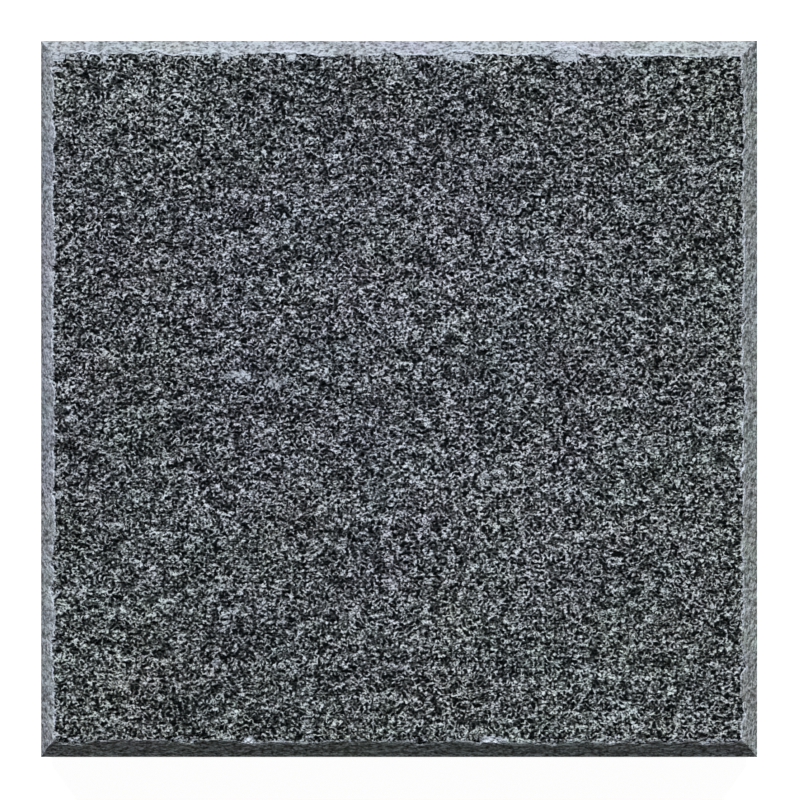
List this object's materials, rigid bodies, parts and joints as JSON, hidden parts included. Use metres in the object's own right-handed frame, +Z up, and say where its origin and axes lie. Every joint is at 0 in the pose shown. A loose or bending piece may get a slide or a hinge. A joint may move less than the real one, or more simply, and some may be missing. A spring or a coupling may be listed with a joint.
{
  "type": "granite slab",
  "caption": "Square dark granite work slab with a rough flamed face, sawn 45 degree chamfers and stuck-on rubber feet.",
  "frame": {"origin": "under the middle of the slab, on the plane that the feet stand on", "axes": "+Z up, out of the working face; +X along the slab's width, to the right; +Y along its depth, away from the front edge"},
  "size_m": [0.305, 0.305, 0.0359],
  "materials": {
    "granite": "rough flamed face, fine salt-and-pepper grain, sawn chamfers and sides",
    "adhesive_foam": "dull closed-cell acrylic foam",
    "foot_rubber": "matte moulded rubber"
  },
  "bodies": {
    "root": {"granite_slab": "granite", "adhesive_disc_front_left": "adhesive_foam", "adhesive_disc_front_right": "adhesive_foam", "adhesive_disc_rear_left": "adhesive_foam", "adhesive_disc_rear_right": "adhesive_foam", "rubber_foot_front_left": "foot_rubber", "rubber_foot_front_right": "foot_rubber", "rubber_foot_rear_left": "foot_rubber", "rubber_foot_rear_right": "foot_rubber"}
  },
  "joints": []
}
